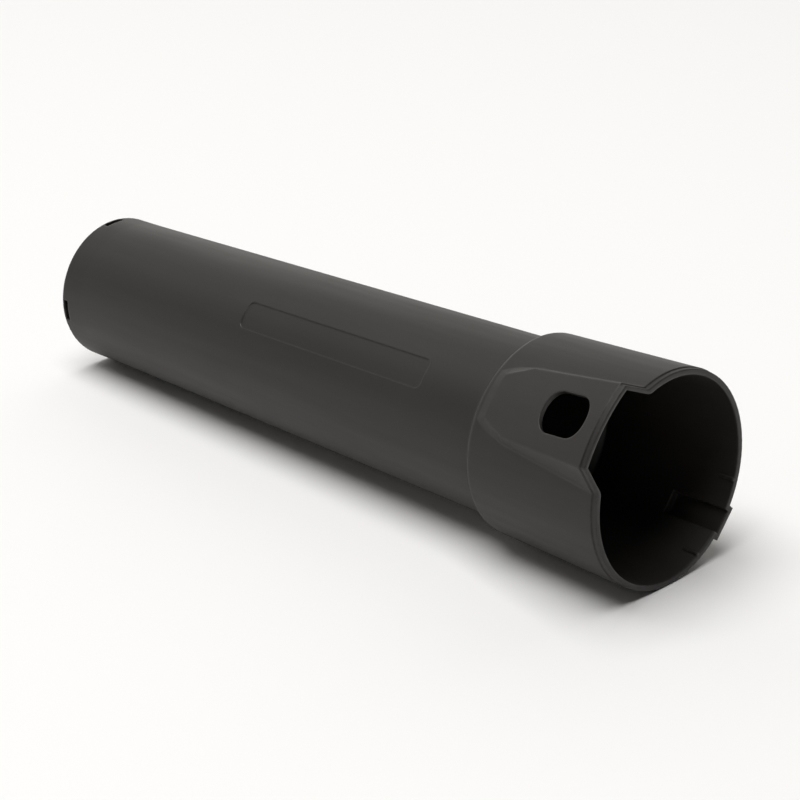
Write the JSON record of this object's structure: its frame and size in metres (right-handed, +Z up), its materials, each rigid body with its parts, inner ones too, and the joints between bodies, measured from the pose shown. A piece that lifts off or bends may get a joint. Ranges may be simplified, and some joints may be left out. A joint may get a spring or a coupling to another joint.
{
  "type": "leaf_blower_nozzle_tube",
  "caption": "Tapered plastic air tube for a leaf blower, with a flared collar that slides over the blower's outlet, a ramped lock pad with a button hole, and clip slots round its far rim.",
  "frame": {"origin": "the middle of the tube's box, on the floor that it lies on", "axes": "+X along the tube towards the socket's mouth, +Z up as it lies, +Y to the left when looking out of the mouth"},
  "size_m": [0.3684, 0.103, 0.0993],
  "materials": {
    "black_plastic": "fine moulded grain, satin"
  },
  "bodies": {
    "root": {"nozzle_tube": "black_plastic"}
  },
  "joints": []
}
